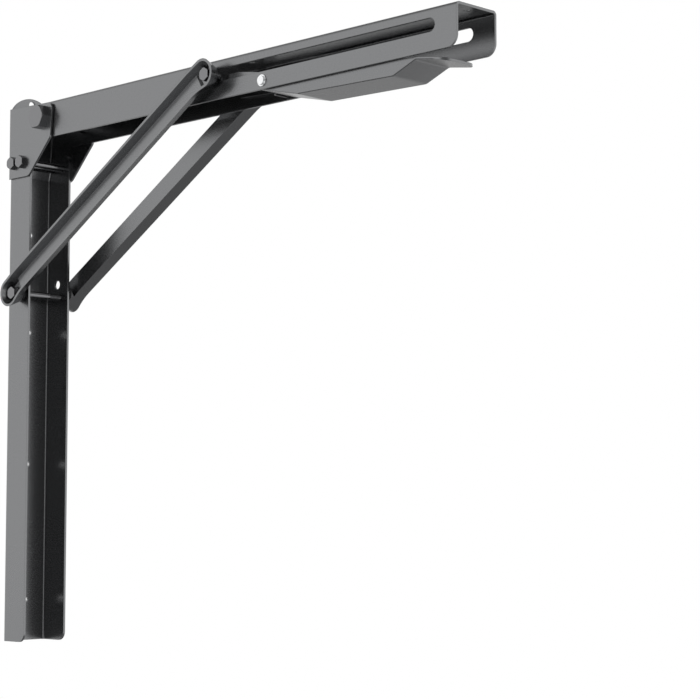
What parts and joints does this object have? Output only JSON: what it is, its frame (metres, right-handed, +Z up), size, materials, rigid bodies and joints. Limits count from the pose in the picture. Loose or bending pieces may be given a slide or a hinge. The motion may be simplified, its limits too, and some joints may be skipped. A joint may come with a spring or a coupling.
{
  "type": "folding shelf bracket",
  "caption": "Folding shelf bracket: slotted arm on a wall channel, twin pressed struts on a sliding pivot, and a release lever under the arm.",
  "frame": {"origin": "on the wall plane behind the hinge bracket, in the mid plane, at the height of the main pivot", "axes": "+X away from the wall along the unfolded arm, +Y to the right of someone facing the wall, +Z up"},
  "size_m": [0.5395, 0.0724, 0.4903],
  "materials": {
    "powder_coat": "satin black powder coat",
    "black_fastener": "black zinc",
    "bright_rivet": "bright zinc",
    "spring_wire": "drawn wire"
  },
  "bodies": {
    "wall_mount": {"wall_channel": "powder_coat", "hinge_bracket": "powder_coat", "pivot_bolt": "black_fastener", "pivot_nut": "black_fastener", "pivot_bush": "black_fastener", "cheek_bolt_rear": "black_fastener", "cheek_bolt_front": "black_fastener", "cheek_nut_rear": "black_fastener", "cheek_nut_front": "black_fastener", "strut_bolt": "black_fastener", "strut_nut": "black_fastener", "spacer_left": "black_fastener", "spacer_right": "black_fastener", "foot_washer_left": "black_fastener", "foot_washer_right": "black_fastener"},
    "arm": {"arm_channel": "powder_coat", "lever_rivet": "bright_rivet", "latch_spring": "spring_wire"},
    "lever": {"release_lever": "powder_coat"},
    "slider": {"slot_rod": "black_fastener", "slide_bush_left": "black_fastener", "slide_bush_right": "black_fastener"},
    "struts": {"strut_left": "powder_coat", "strut_right": "powder_coat", "upper_washer_left": "black_fastener", "upper_washer_right": "black_fastener", "upper_pin_left": "black_fastener", "upper_pin_right": "black_fastener"}
  },
  "joints": [
    {"name": "arm_fold", "type": "hinge", "parent": "wall_mount", "child": "arm", "pos_m": [0.0501, 0, 0], "axis": [0, 1, 0], "range_deg": [0, 90]},
    {"name": "lever_press", "type": "hinge", "parent": "arm", "child": "lever", "pos_m": [0.3354, 0, -0.0116], "axis": [0, -1, 0], "range_deg": [0, 4.5], "stiffness_Nm_per_rad": 1.5, "springref_deg": -14.32},
    {"name": "rod_slide", "type": "slide", "parent": "arm", "child": "slider", "axis": [1, 0, 0], "range_m": [0, 0.2272]},
    {"name": "strut_swing", "type": "hinge", "parent": "wall_mount", "child": "struts", "pos_m": [0.0194, 0, -0.1549], "axis": [0, 1, 0], "range_deg": [0, 115.03]}
  ],
  "couplings": [
    {"joint": "rod_slide", "follows": "arm_fold", "m_per_rad": 0.14459},
    {"joint": "strut_swing", "follows": "arm_fold", "ratio": 1.2779}
  ]
}
